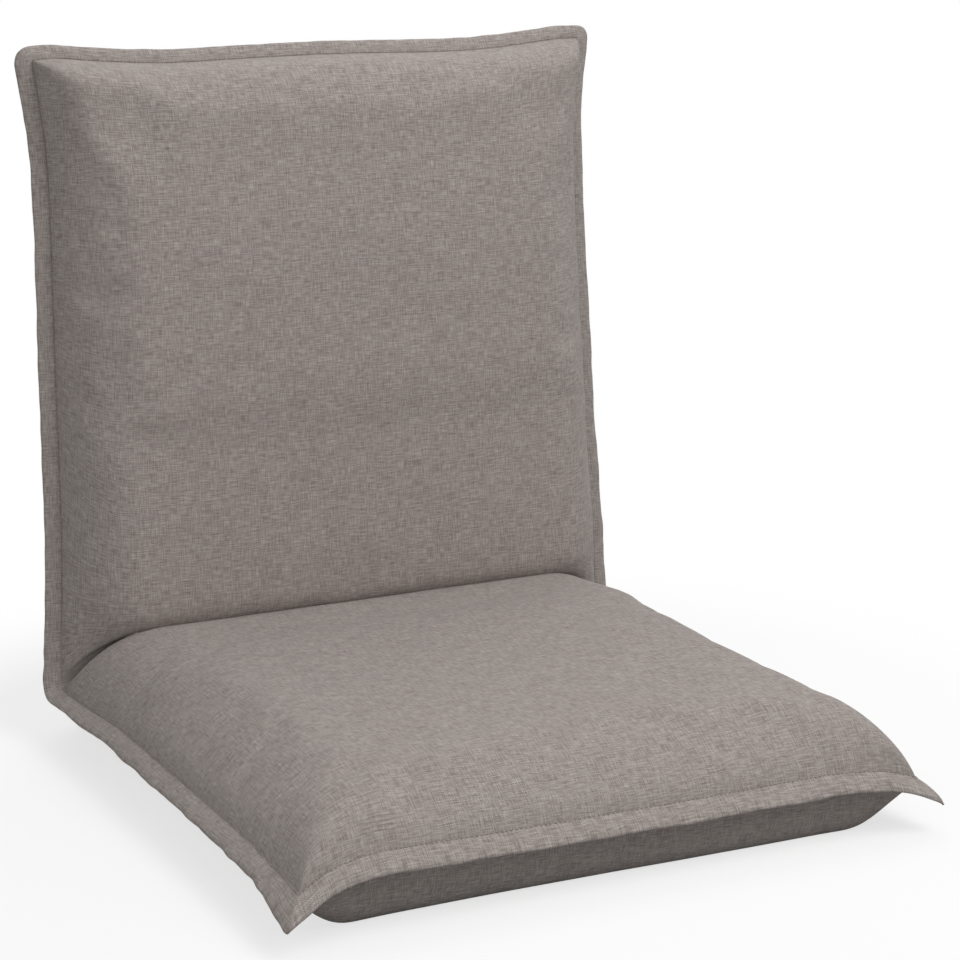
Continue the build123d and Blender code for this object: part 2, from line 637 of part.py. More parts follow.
with BuildPart() as zip_pull:
    with BuildSketch(ZIP_PLANE.offset(PIVOT_LIFT)):
        with Locations((CLOSED_X + PULL_PLY - PULL_LENGTH / 2, 0)):
            SlotOverall(PULL_LENGTH, PULL_WIDTH)
        with Locations((CLOSED_X + PULL_PLY - PULL_SLOT / 2, 0)):
            Rectangle(PULL_SLOT, BRIDGE_WIDTH + 2 * ZIP_GAP, mode=Mode.SUBTRACT)
        with Locations((CLOSED_X + PULL_PLY - PULL_LENGTH + PULL_WIDTH / 2, 0)):
            Circle(PULL_WIDTH / 2 - PULL_RIM, mode=Mode.SUBTRACT)
    extrude(amount=PULL_PLY / 2, both=True)
    with BuildSketch(Plane(origin=ZIP_PLANE.origin, x_dir=(1, 0, 0), z_dir=-ZIP_PLANE.y_dir)):
        with Locations((CLOSED_X, PIVOT_LIFT)):
            Circle(PULL_PLY / 2)
    extrude(amount=BRIDGE_WIDTH / 2 + ZIP_GAP + PULL_PLY / 2, both=True)
zip_pull.part.label = "zip_pull"
export_step(zip_pull.part, "parts/zip_pull.step")
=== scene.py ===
"""Looks of the folding floor chair: its sewn cover, foam, steel and zip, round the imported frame.

Metres, in the frame of the solids: +Z up, the chair faces -Y, left is -X. Places on the
seam line of the cover are given by s, the way from the hinge axis: minus along the seat
and plus up the back. Pairs (y, z) start from the hinge axis. Angles about that axis
start along the seat and grow towards the back.
"""
import json
from math import cos, pi, radians, sin, tan

import bmesh
import bpy
import numpy as np
from mathutils import Matrix, Vector, noise
from mathutils.bvhtree import BVHTree


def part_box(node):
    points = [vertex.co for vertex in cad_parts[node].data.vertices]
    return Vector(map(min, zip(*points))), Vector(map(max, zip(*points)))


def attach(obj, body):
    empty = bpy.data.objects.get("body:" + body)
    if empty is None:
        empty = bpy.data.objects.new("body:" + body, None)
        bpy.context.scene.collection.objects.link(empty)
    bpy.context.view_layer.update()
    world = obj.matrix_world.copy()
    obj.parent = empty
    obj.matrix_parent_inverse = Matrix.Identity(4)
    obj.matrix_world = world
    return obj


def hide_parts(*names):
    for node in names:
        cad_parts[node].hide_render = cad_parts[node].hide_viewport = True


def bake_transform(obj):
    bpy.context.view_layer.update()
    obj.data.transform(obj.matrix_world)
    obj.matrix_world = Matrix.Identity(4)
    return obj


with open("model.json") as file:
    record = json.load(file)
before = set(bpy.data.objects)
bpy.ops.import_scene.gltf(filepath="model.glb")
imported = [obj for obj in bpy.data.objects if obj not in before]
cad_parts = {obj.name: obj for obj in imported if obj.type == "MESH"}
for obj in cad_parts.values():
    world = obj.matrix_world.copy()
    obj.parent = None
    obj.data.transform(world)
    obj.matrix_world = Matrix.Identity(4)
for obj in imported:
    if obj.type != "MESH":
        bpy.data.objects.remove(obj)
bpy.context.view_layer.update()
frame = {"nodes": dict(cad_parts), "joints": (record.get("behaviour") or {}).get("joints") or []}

# ------------------------------------------------------------------ sizes, from the frame
MM = 0.001
fold = next(joint for joint in frame["joints"] if joint["name"] == "back_fold")
HINGE_Y, SEAM_Z = fold["pos_m"][1:]
HALF_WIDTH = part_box("seat_cover_top")[1].x
SEAT_DEPTH = HINGE_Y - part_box("seat_cover_top")[0].y + 0.5 * MM
BACK_ANGLE = radians(95)
BACK_UP = np.array((-cos(BACK_ANGLE), sin(BACK_ANGLE)))
BACK_OUT = np.array((-sin(BACK_ANGLE), -cos(BACK_ANGLE)))
SEAT_UP = np.array((0.0, 1.0))
BACK_HEIGHT = (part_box("back_cover_rear")[1].z - SEAM_Z) / BACK_UP[1] + 5 * MM  # its edge is pulled up
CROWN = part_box("seat_cover_top")[1].z - SEAM_Z
BELLY = SEAM_Z

FLANGE = 13 * MM  # sewn edge of the cover
TOP_FLANGE = 10.3 * MM  # the same along the top of the back
TUCK = 1.5 * MM  # the body of the cover starts this far inside the flange
CROWN_REACH = 72 * MM  # from the flange in to the flat of the crown
RIGHT_REACH = 52 * MM  # the same on the seat's right, which is stuffed fuller
BACK_REACH = 47 * MM  # and on the back
BACK_DOME = 0.12  # share by which the back's cushion is lower at its sides than in the middle
TOP_DROP = 0.14  # and lower towards its top
END_REACH = 60 * MM  # from the seat's front edge to the flat of the crown
TOP_REACH = 24 * MM  # and from the back's top edge
BELLY_REACH = 46 * MM  # from the side in to the flat of the belly
BELLY_END_REACH = (25 * MM, 17 * MM)  # the same from the front edge, left and right
CORNER_ARC = (14 * MM, 10 * MM)  # rounding of the flange's upper corners, left and right
EAR_ARC = (5 * MM, 7 * MM)  # rounding of the tips of its lower corners
HINGE_ARC = 11 * MM  # rounding of the seam line at the hinge
SECTION_POWER = 2.3  # the crown's section is nearly straight from the seam, then turns over
SECTION_ROOT = 0.78
PLY = 0.6 * MM

# How far the edges of the cover pull in, in mm, at places in mm: s on the sides, x on the ends.
SIDE_DRAWS = (
    ((-470, 0), (-430, 2), (-300, 3), (-120, 3), (-60, 0), (0, -2), (20, -1.5), (60, 2), (110, 5.5),
     (170, 7.5), (230, 9), (290, 11), (350, 13), (400, 14), (430, 12), (450, 10), (470, 7.5), (487, 5)),
    ((-470, 0), (-430, 1), (-300, -2), (-120, -3), (-60, -3), (0, -2), (50, 0), (110, 2.8), (170, 5.5),
     (230, 6.5), (290, 8), (350, 9), (405, 9), (435, 6.5), (455, 2.5), (470, -0.5), (487, -2)),
)
TOP_DRAW = ((-245, -0.5), (-215, -2.5), (-180, 1.2), (-150, 3.6), (-120, 4.9), (-90, 4.4), (-45, 3.6),
            (0, 3.1), (45, 3.6), (90, 4.9), (130, 5.2), (160, 3.8), (185, 1.6), (215, -1.4), (245, -1))
FRONT_DRAW = ((-245, 0), (-215, 3), (-160, 5.5), (0, 6), (160, 5.5), (215, 3), (245, 0))
TOP_DRAW_FROM = 0.55  # share of the way up the back where the draw of its top sets in
FRONT_DRAW_FROM = 0.7  # and of the way to the seat's front
LINE_STEPS = 200  # of a line through such places
LINE_BLUR = 9  # steps over which it is softened

# How far the seam rises off its plane and how far the flange's edge leans back from the seam.
SIDE_RISE = ((-470, 0), (-420, 1), (-340, 3.5), (-120, 4), (-40, 1), (0, 0), (487, 0))
FRONT_RISE = ((-245, 0), (-236, 4), (-222, 12), (-203, 17), (-181, 17), (-164, 15.5), (-144, 15), (-107, 14),
              (-60, 13), (0, 12), (60, 11.5), (150, 11.5), (205, 11), (228, 8), (245, 2))
SIDE_LEAN = ((-470, 8), (-380, 8), (-100, 7), (-30, 4), (30, 2), (100, 1), (400, 1), (487, 3))
FRONT_LEAN = ((-245, 8), (-200, 9.5), (200, 9.5), (245, 8))
TOP_LEAN = ((-245, 3), (-200, 5), (200, 5), (245, 3))

chain_low, chain_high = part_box("zip_chain")
ZIP_Z = (chain_low.z + chain_high.z) / 2 - SEAM_Z
ZIP_PLACE = ((chain_low.y + chain_high.y) / 2 - HINGE_Y, ZIP_Z)

CREASE_ANGLE = radians(62)
CREASE_WAY = np.array((-cos(CREASE_ANGLE), sin(CREASE_ANGLE)))
CREASE_SIDE = np.array((-sin(CREASE_ANGLE), -cos(CREASE_ANGLE)))  # from the crease to the seat
CREASE_GAP = 0.8 * MM  # from the crease to the fabric on either side of it
CREASE_FOOT = 20 * MM  # bottom of the crease, from the hinge axis
LIP = 9 * MM  # rounding of the seat's cushion where it dives into the crease

# The roll of the back's cushion over the crease, as points and controls of two curves: the
# way up the back, and how far short of the full depth, in mm.
ROLL_BELLY, ROLL_FRONT, ROLL_EASE, ROLL_END = (43.5, 5.5), (62, 3.5), (95, 0.5), (150, 0)


# ------------------------------------------------------------------ small helpers
def smooth(low, high, value):
    """Smooth step of an array between two values."""
    share = np.clip((np.asarray(value, float) - low) / (high - low), 0, 1)
    return share * share * (3 - 2 * share)


def spaced(start, stop, count, ease=1.0):
    """Places from start to stop, closer together at the start where ease is above 1."""
    return start + (stop - start) * (np.arange(count + 1) / count) ** ease


def curve_through(first, control, last, count):
    """Points of a quadratic curve, its first one left out."""
    t = np.linspace(0, 1, count + 1)[1:, None]
    return (1 - t) ** 2 * first + 2 * t * (1 - t) * control + t * t * last


def ripple(places, seed):
    """Smooth noise, from -1 to 1, of an array of places given in lumps."""
    offset = Vector((seed * 7.3, seed * 3.1, seed * 5.7))
    flat = [noise.noise(Vector(place) + offset) for place in places.reshape(-1, 3)]
    return np.array(flat).reshape(places.shape[:-1])


def in_space(x, pair):
    """Points in the frame from x and pairs (y, z) from the hinge axis."""
    return np.stack((x, pair[..., 0] + HINGE_Y, pair[..., 1] + SEAM_Z), -1)


def new_piece(name, mesh, material):
    """Smooth-shaded object made of a bmesh, with its material."""
    data = bpy.data.meshes.new(name)
    mesh.to_mesh(data)
    mesh.free()
    piece = bpy.data.objects.new(name, data)
    bpy.context.scene.collection.objects.link(piece)
    data.materials.append(material)
    data.polygons.foreach_set("use_smooth", [True] * len(data.polygons))
    return piece


def add_patch(mesh, points, uv, flip=False):
    """Grid of a bmesh laid on rows and columns of points, with a UV place for each."""
    count_rows, count_columns = points.shape[:2]
    made = bmesh.ops.create_grid(mesh, x_segments=count_columns - 1, y_segments=count_rows - 1, size=1)
    layer = mesh.loops.layers.uv.get("UVMap") or mesh.loops.layers.uv.new("UVMap")
    ordered = sorted(made["verts"], key=lambda vert: (round(vert.co.y, 5), round(vert.co.x, 5)))
    places = {}
    for vert, point, place in zip(ordered, points.reshape(-1, 3), uv.reshape(-1, 2)):
        vert.co = point
        places[vert] = place
    faces = list({face for vert in ordered for face in vert.link_faces})
    for face in faces:
        for loop in face.loops:
            loop[layer].uv = places[loop.vert]
    if flip:
        bmesh.ops.reverse_faces(mesh, faces=faces)
    return ordered


# ------------------------------------------------------------------ seam line of the cover
ARC_RUN = HINGE_ARC * tan((pi - BACK_ANGLE) / 2)  # from the hinge axis to where its arc starts
TURN = pi - BACK_ANGLE


def seam_place(s):
    """Places (y, z) on the seam line and its normals, for an array of s."""
    s = np.asarray(s, float)[..., None]
    on_seat = np.concatenate((s, 0 * s), -1)
    on_back = s * BACK_UP
    share = np.clip((s + ARC_RUN) / (2 * ARC_RUN), 0, 1)
    angle = share * TURN
    on_arc = np.concatenate((-ARC_RUN + HINGE_ARC * np.sin(angle), HINGE_ARC * (1 - np.cos(angle))), -1)
    place = np.where(s < -ARC_RUN, on_seat, np.where(s > ARC_RUN, on_back, on_arc))
    normal = np.concatenate((-np.sin(angle), np.cos(angle)), -1)
    return place, normal


def through(places, knots):
    """Values in metres of a softened line through knots in mm, at an array of places."""
    at, value = np.array(knots).T * MM
    grid = np.linspace(at[0], at[-1], LINE_STEPS)
    window = np.hanning(LINE_BLUR + 2)[1:-1]
    line = np.pad(np.interp(grid, at, value), LINE_BLUR // 2, mode="edge")
    return np.interp(places, grid, np.convolve(line, window / window.sum(), "valid"))


def side_draw(x, s):
    """How far the sides of the cover pull in at s."""
    return np.where(x < 0, through(s, SIDE_DRAWS[0]), through(s, SIDE_DRAWS[1]))


def settle_plan(x, s):
    """Pull the plan of the cover in between its corners, and round the corners themselves."""
    arc = np.where(s < 0, np.where(x < 0, *EAR_ARC), np.where(x < 0, *CORNER_ARC))
    inset_x = HALF_WIDTH - np.abs(x)
    inset_end = np.where(s > 0, BACK_HEIGHT - s, SEAT_DEPTH + s)
    block_x, block_end = arc - inset_x, arc - inset_end
    in_corner = (block_x > 0) & (block_end > 0)
    reach = np.maximum(np.hypot(block_x, block_end), 1e-9)
    scale = np.where(in_corner, np.maximum(block_x, block_end) / reach, 1)
    inset_x = np.where(in_corner, arc - block_x * scale, inset_x)
    inset_end = np.where(in_corner, arc - block_end * scale, inset_end)
    s = np.where(s > 0, BACK_HEIGHT - inset_end, inset_end - SEAT_DEPTH)
    x = np.sign(x) * (HALF_WIDTH - inset_x)
    top = through(x, TOP_DRAW) * smooth(TOP_DRAW_FROM, 1, s / BACK_HEIGHT)
    front = through(x, FRONT_DRAW) * smooth(FRONT_DRAW_FROM, 1, -s / SEAT_DEPTH)
    return x * (1 - side_draw(x, s) / HALF_WIDTH), s - top + front


def edge_nearness(x, s, reach_x, reach_end):
    """How near places of the plan are to the seam: 1 on it, 0 a reach inside it."""
    inset_end = np.where(s > 0, BACK_HEIGHT - TOP_FLANGE - s, SEAT_DEPTH - FLANGE + s)
    edge_x = np.clip(1 - (HALF_WIDTH - np.abs(x) - FLANGE) / reach_x, 0, 1)
    return edge_x, np.clip(1 - inset_end / reach_end, 0, 1)


def round_edge(x, s, side_knots, front_knots, top_knots):
    """Values of tables round the edge of the cover, shared out at the corners."""
    edge_x, edge_end = edge_nearness(x, s, CROWN_REACH, END_REACH)
    share = edge_end ** 2 / np.maximum(edge_x ** 2 + edge_end ** 2, 1e-9)
    end = np.where(s < 0, through(x, front_knots), through(x, top_knots))
    return end * share + through(s, side_knots) * (1 - share)


def seam_rise(x, s):
    """How far the seam lies above its plane at a place of the plan."""
    return round_edge(x, s, SIDE_RISE, FRONT_RISE, ((-245, 0), (245, 0)))


EAR_DROP = 9.5 * MM
EAR_OUT = 4.5 * MM
EAR_POWER = 2.2  # the higher, the nearer to its tip an ear bends
EAR_REACH = ((40 * MM, 110 * MM), (45 * MM, 64 * MM))  # along the front and the side, left and right


def droop(points, x, s, freedom=1.0):
    """Let the two front corners of the cover hang, and turn their tips out."""
    left, right = (np.hypot((HALF_WIDTH - np.abs(x)) / run, (SEAT_DEPTH + s) / way) for run, way in EAR_REACH)
    share = np.clip(1 - np.where(x < 0, left, right), 0, 1) ** EAR_POWER * freedom
    points[..., 2] -= EAR_DROP * share
    points[..., 0] += np.sign(x) * EAR_OUT * share
    points[..., 1] -= EAR_OUT * share
    return points


# ------------------------------------------------------------------ body of the cover
SIDE_WALL = 28 * MM  # strip of the body beside its seam that has finer cells
END_WALL = 26 * MM  # and the same at its front and top
WALL_CELLS = 10
SIDE_CELLS = (9, 21)  # from the wall to the flat of the crown, and on to the middle
END_CELLS = 8
SEAT_CELLS = 42
BACK_CELLS = 50
FINER = 2.0  # how much finer the cells get towards the seam
ROLL_CELLS = (8, 14)  # of the lower and the upper half of the roll over the crease


def body_columns():
    """x of the columns of the body of the cover, from left to right."""
    slope_cells, flat_cells = SIDE_CELLS
    wall = FLANGE + SIDE_WALL
    flat = FLANGE + CROWN_REACH
    insets = np.concatenate((
        [FLANGE - TUCK],
        spaced(FLANGE, wall, WALL_CELLS, FINER),
        spaced(wall, flat, slope_cells)[1:],
        spaced(flat, HALF_WIDTH, flat_cells)[1:],
    ))
    x = insets - HALF_WIDTH
    return np.concatenate((x, -x[-2::-1]))


def end_insets():
    """Insets of the rows over the slope behind the front edge or under the top edge."""
    wall = FLANGE + END_WALL
    slope = spaced(wall, FLANGE + END_REACH, END_CELLS)[1:]
    return np.concatenate(([FLANGE - TUCK], spaced(FLANGE, wall, WALL_CELLS, FINER), slope))


def crease_line():
    """Where the seat's flat top ends, and points from there down into the crease and up again."""
    lip = CREASE_WAY * CROWN / sin(CREASE_ANGLE)
    top = np.array((lip[0] - LIP, CROWN))
    depth = lip @ CREASE_WAY
    bend = curve_through(top, lip, lip - LIP * CREASE_WAY, 4)
    dive = CREASE_WAY * np.linspace(depth - 14 * MM, CREASE_FOOT, 4)[:, None]
    climb = CREASE_WAY * np.linspace(CREASE_FOOT, depth - 4 * MM, 5)[:, None]
    to_seat = CREASE_SIDE * CREASE_GAP
    return top, np.concatenate((bend + to_seat, dive + to_seat, climb - to_seat))


def roll_line(start):
    """Points of the roll that the back's cushion makes, from the crease to its full depth."""
    places = (ROLL_BELLY, ROLL_FRONT, ROLL_EASE, ROLL_END)
    belly, front, ease, end = (BACK_UP * up * MM + BACK_OUT * (CROWN - short * MM) for up, short in places)
    low_cells, high_cells = ROLL_CELLS
    return np.concatenate((
        curve_through(start, belly, front, low_cells),
        curve_through(front, ease, end, high_cells),
    ))


def front_lifts(s, seam, first, crease, roll, top):
    """How front points of the rows leave the seam line at full height; first is the crease's first row."""
    last = first + len(crease)
    rolled = last + len(roll)
    lifts = np.empty((len(s), 2))
    lifts[:first, 0] = smooth(-300 * MM, 0, s[:first]) * (top[0] + ARC_RUN)
    lifts[:first, 1] = CROWN
    lifts[first:last] = crease - seam[first:last]
    lifts[last:rolled] = roll - seam[last:rolled]
    slope_start = BACK_HEIGHT - FLANGE - END_REACH
    shift = ROLL_END[0] * MM - s[rolled - 1]
    remain = np.clip((slope_start - s[rolled:]) / (slope_start - s[rolled - 1]), 0, 1)
    lifts[rolled:] = BACK_OUT * CROWN + BACK_UP * (remain ** 2 * shift)[:, None]
    return lifts


def rear_lifts(s, seam, first, last):
    """How rear points of the rows leave the seam line: straight, and in an arc round the hinge."""
    turn = np.linspace(-pi / 2, -pi / 2 - TURN, last - first + 2)[1:-1]
    lifts = np.empty((len(s), 2))
    lifts[:first] = -SEAT_UP * BELLY
    lifts[first:last] = BELLY * np.stack((-np.cos(turn), np.sin(turn)), -1) - seam[first:last]
    lifts[last:] = -BACK_OUT * BELLY
    return lifts


def body_rows():
    """s and normal of each row, and how its front and rear points leave the seam line at full height."""
    ends = end_insets()
    top_ends = ends[::-1] - FLANGE + TOP_FLANGE
    seat_flat = spaced(SEAT_DEPTH - ends[-1], ARC_RUN, SEAT_CELLS)[1:]
    back_flat = spaced(ARC_RUN, BACK_HEIGHT - ends[-1], BACK_CELLS)[:-1]
    top, crease = crease_line()
    arc = np.linspace(-ARC_RUN, ARC_RUN, len(crease) + 2)[1:-1]
    s = np.concatenate((ends - SEAT_DEPTH, -seat_flat, arc, back_flat, BACK_HEIGHT - top_ends))
    seam, normal = seam_place(s)
    first = len(ends) + len(seat_flat)
    front = front_lifts(s, seam, first, crease, roll_line(crease[-1]), top)
    return s, normal, front, rear_lifts(s, seam, first, first + len(crease))


CORNER_CUTS = (0.15, 0.35)  # shares by which both reaches are less at the seat's right front corner
TOP_CUT = 0.42  # and the side's at the top of the back
CROWN_SOFTNESS = 3.0  # how softly the crown's two slopes meet: the lower, the softer
BELLY_SOFTNESS = (0.8, 1.6)  # the belly's, left and right


def crown_reaches(x, s):
    """Reaches of the crown from the side and from the end, less where it is stuffed fuller."""
    right = smooth(20 * MM, 120 * MM, x) * smooth(0, -80 * MM, s)
    back = smooth(0, 100 * MM, s)
    top = smooth(BACK_HEIGHT - 150 * MM, BACK_HEIGHT - 20 * MM, s)
    corner = smooth(140 * MM, HALF_WIDTH, x) * smooth(120 * MM - SEAT_DEPTH, -SEAT_DEPTH, s)
    reach_x = CROWN_REACH + (RIGHT_REACH - CROWN_REACH) * right + (BACK_REACH - CROWN_REACH) * back
    reach_end = np.where(s > 0, TOP_REACH, END_REACH)
    cut_x, cut_end = CORNER_CUTS
    return reach_x * (1 - cut_x * corner - TOP_CUT * top), reach_end * (1 - cut_end * corner)


def belly_reaches(x):
    """Reaches of the belly from the side and from the front edge."""
    left, right = BELLY_END_REACH
    return BELLY_REACH, left + (right - left) * smooth(-120 * MM, 160 * MM, x)


def height_share(x, s, reach_x, reach_end, softness):
    """Share of its full height that the body has: both its slopes, met softly in the corners."""
    edges = edge_nearness(x, s, reach_x, reach_end)
    slopes = [(1 - edge ** SECTION_POWER) ** SECTION_ROOT for edge in edges]
    return (sum(np.maximum(slope, 1e-6) ** -softness for slope in slopes) - 1) ** (-1 / softness)


def away_from_crease(s):
    """Share from 0 at the hinge to 1 well away from it, on either side."""
    return np.maximum(smooth(20 * MM, 110 * MM, s), smooth(-20 * MM, -90 * MM, s))


CREASE_DRAW = 2.2 * MM  # how far the back's cushion draws in above the crease
GATHER = 0.5 * MM  # height of the small gathers at the seam
SWELL = 1.3 * MM  # and of the slow swells of the stuffing


def crease_folds(x, s, height):
    """How far the back's cushion draws in just above the crease, in soft folds."""
    flat = np.zeros_like(x)
    folds = ripple(np.stack((x / (26 * MM), s / (45 * MM), flat), -1), 9)
    band = smooth(12 * MM, 20 * MM, s) * smooth(75 * MM, 30 * MM, s)
    return CREASE_DRAW * (0.5 + 0.8 * folds) * band * height


def run_along(points):
    """Length of a line of points up to each of them."""
    return np.concatenate(([0], np.cumsum(np.linalg.norm(np.diff(points, axis=0), axis=1))))


def unevenness(x, s, height):
    """How far the stuffed cloth departs from its smooth form: gathers at the seam, and slow swells."""
    edge_x, edge_end = edge_nearness(x, s, CROWN_REACH, END_REACH)
    flat = np.zeros_like(x)
    place = np.stack((x, s, flat), -1)
    across = ripple(np.stack((s / (11 * MM), x / (70 * MM), flat), -1), 3)
    down = ripple(np.stack((x / (11 * MM), s / (70 * MM), flat), -1), 5)
    on_slope = smooth(0, 0.35, height) * smooth(0.85, 0.3, height)
    gathers = np.where(edge_x > edge_end, across, down) * on_slope
    swells = ripple(place / (85 * MM), 7) + 0.35 * ripple(place / (38 * MM), 8)
    return GATHER * gathers + SWELL * swells * height


def body_points(front):
    """Grid of points of one side of the cover's body, with its UV places."""
    columns = body_columns()
    s, normal, *lifts = body_rows()
    x_plan, s_plan = np.meshgrid(columns, s)
    if front:
        reaches = crown_reaches(x_plan, s_plan)
        softness = CROWN_SOFTNESS
    else:
        reaches = belly_reaches(x_plan)
        softness = np.where(x_plan < 0, *BELLY_SOFTNESS)
    height = height_share(x_plan, s_plan, *reaches, softness)
    if front:
        height = height * (1 - BACK_DOME * (x_plan / HALF_WIDTH) ** 2 * smooth(0, 200 * MM, s_plan))
        height = height * (1 - TOP_DROP * smooth(BACK_HEIGHT - 170 * MM, BACK_HEIGHT - 30 * MM, s_plan))
    x_drawn, s_drawn = settle_plan(x_plan, s_plan)
    base, _ = seam_place(s_drawn)
    lift = lifts[0 if front else 1][:, None, :]
    outward = 1 if front else -1
    uneven = unevenness(x_plan, s_plan, height) * (1 if front else smooth(0, 250 * MM, s_plan))
    uneven = uneven * away_from_crease(s_plan) - crease_folds(x_plan, s_plan, height) * front
    level = seam_rise(x_plan, s_plan) * (1 - height) + outward * (PLY + uneven)
    pair = base + lift * height[..., None] + normal[:, None, :] * level[..., None]
    points = droop(in_space(x_drawn, pair), x_plan, s_plan, 1.0 if front else 1 - height)
    up = run_along(points[:, len(columns) // 2])
    across = run_along(points[len(s) * 3 // 4])
    return points, np.stack(np.meshgrid(across, up), -1)


GATHERS = ((-174 * MM, 17 * MM), (11 * MM, 5.5 * MM))  # x and half width, way from the seam and half depth


def gathered(front):
    """Share from 0 to 1 of the small folds above the front seam, near its left end."""
    x, s = np.meshgrid(body_columns(), body_rows()[0])
    (middle_x, half_x), (middle_s, half_s) = GATHERS
    from_seam = s + SEAT_DEPTH - FLANGE
    return np.exp(-((x - middle_x) / half_x) ** 2 - ((from_seam - middle_s) / half_s) ** 2) * front


def cover_body(material):
    """The stuffed body of the cover: the sitting side and the rear side, closed in the seam."""
    mesh = bmesh.new()
    looseness = mesh.verts.layers.float.new("loose")
    gathering = mesh.verts.layers.float.new("gathers")
    sides = []
    for front in (True, False):
        points, uv = body_points(front)
        loose = free_cloth(points, front)
        gathers = gathered(front)
        sides.append(add_patch(mesh, points, uv, flip=not front))
        for vert, share, gather in zip(sides[-1], loose.ravel(), gathers.ravel()):
            vert[looseness] = share
            vert[gathering] = gather
    pairs = [(top, below) for top, below in zip(*sides) if top.is_boundary]
    for top, below in pairs:
        top.co = (top.co + below.co) / 2
    bmesh.ops.weld_verts(mesh, targetmap={below: top for top, below in pairs})
    body = new_piece("cover_body", mesh, material)
    swell(body)
    return body


# ------------------------------------------------------------------ cloth
SWELL_STEPS = 20
SWELL_CAP = 5 * MM
CLOTH = {
    "vertex_group_mass": "held", "quality": 5, "mass": 0.3, "tension_stiffness": 15,
    "compression_stiffness": 15, "bending_stiffness": 0.2, "use_pressure": True,
    "uniform_pressure_force": 4, "shrink_min": -0.012,
}

# The cloth is held up to the first and free from the second of each pair.
SEAM_HOLD = (2, 9)  # cells from the seam
CORNER_HOLD = (8, 24)  # cells from a corner
CREASE_HOLD = (8 * MM, 90 * MM)
ZIP_HOLD = (9 * MM, 30 * MM)
FLOOR_HOLD = (4 * MM, 20 * MM)
HINGE_HOLD = (60 * MM, 90 * MM)  # from the hinge axis, on the rear side


def free_cloth(points, front):
    """Share to which each point may move: none at the seam, in the crease and on the floor."""
    count_rows, count_columns = points.shape[:2]
    row = np.arange(count_rows)[:, None]
    column = np.arange(count_columns)[None, :]
    from_end = np.minimum(row, count_rows - 1 - row)
    from_side = np.minimum(column, count_columns - 1 - column)
    away_from_corner = np.maximum(smooth(*CORNER_HOLD, from_end), smooth(*CORNER_HOLD, from_side))
    free = smooth(*SEAM_HOLD, np.minimum(from_end, from_side)) * away_from_corner
    y, z = points[..., 1] - HINGE_Y, points[..., 2] - SEAM_Z
    if front:
        from_crease = np.abs(y * sin(CREASE_ANGLE) + z * cos(CREASE_ANGLE))
        return free * smooth(*CREASE_HOLD, from_crease)
    zip_clear = smooth(*ZIP_HOLD, np.abs(z - ZIP_Z))
    return free * zip_clear * smooth(*FLOOR_HOLD, points[..., 2]) * smooth(*HINGE_HOLD, np.hypot(y, z))


def vertex_places(mesh):
    """Places of the vertices of a mesh, one after another."""
    places = np.zeros(3 * len(mesh.vertices), np.float32)
    mesh.vertices.foreach_get("co", places)
    return places


def blown_up(piece, loose):
    """Places of a piece's vertices after the simulation, which holds each to 1 less its looseness."""
    held = piece.vertex_groups.new(name="held")
    for index, share in enumerate(loose):
        held.add([index], float(1 - share), "REPLACE")
    cloth = piece.modifiers.new("cloth", "CLOTH")
    for setting, value in CLOTH.items():
        setattr(cloth.settings, setting, value)
    cloth.settings.effector_weights.gravity = 0
    cloth.point_cache.frame_end = SWELL_STEPS
    for step in range(1, SWELL_STEPS + 1):
        bpy.context.scene.frame_set(step)
    places = vertex_places(piece.evaluated_get(bpy.context.evaluated_depsgraph_get()).data)
    piece.modifiers.remove(cloth)
    piece.vertex_groups.remove(held)
    bpy.context.scene.frame_set(1)
    return places


def swell(piece):
    """Blow a closed piece of cloth up a little, so that it pulls and creases as stuffed cloth does."""
    loose = np.zeros(len(piece.data.vertices), np.float32)
    piece.data.attributes["loose"].data.foreach_get("value", loose)
    swollen = blown_up(piece, loose)
    at_first = vertex_places(piece.data)
    move = (swollen - at_first).reshape(-1, 3)
    reach = np.linalg.norm(move, axis=1)
    scale = SWELL_CAP * np.tanh(reach / SWELL_CAP) / np.maximum(reach, 1e-9) * loose
    piece.data.vertices.foreach_set("co", at_first + (move * scale[:, None]).ravel())


# ------------------------------------------------------------------ flange
RING_CELLS = (195, 379)  # along an end and along a side of the chair
PUCKER = 0.5  # share by which puckers thicken and thin the flange
SCALLOP = 1.3 * MM  # how far the edge of the flange goes in and out
WAVE = 1.2 * MM  # and up and down


def flange_ring(inset):
    """Closed run of plan places (x, s) round the chair, at an inset from the edge."""
    end_cells, side_cells = RING_CELLS
    step_x = np.linspace(-1, 1, end_cells + 1)[:-1]
    step_s = np.linspace(0, 1, side_cells + 1)[:-1]
    run = np.concatenate((step_x, 1 + 0 * step_s, -step_x, -1 + 0 * step_s))
    rise = np.concatenate((0 * step_x, step_s, 1 + 0 * step_x, 1 - step_s))
    x = run * (HALF_WIDTH - inset)
    return x, (inset - SEAT_DEPTH) * (1 - rise) + (BACK_HEIGHT - inset * TOP_FLANGE / FLANGE) * rise


FLANGE_SECTION = (  # share of the width from the seam out, and half the thickness in mm
    (-0.16, 0.8), (0.0, 1.9), (0.12, 2.0), (0.3, 2.2), (0.55, 2.3), (0.8, 1.9), (0.94, 1.2), (1.0, 0.0),
)


def flange_lean(x, s):
    """How far the flange's edge lies below or behind the seam."""
    return round_edge(x, s, SIDE_LEAN, FRONT_LEAN, TOP_LEAN)


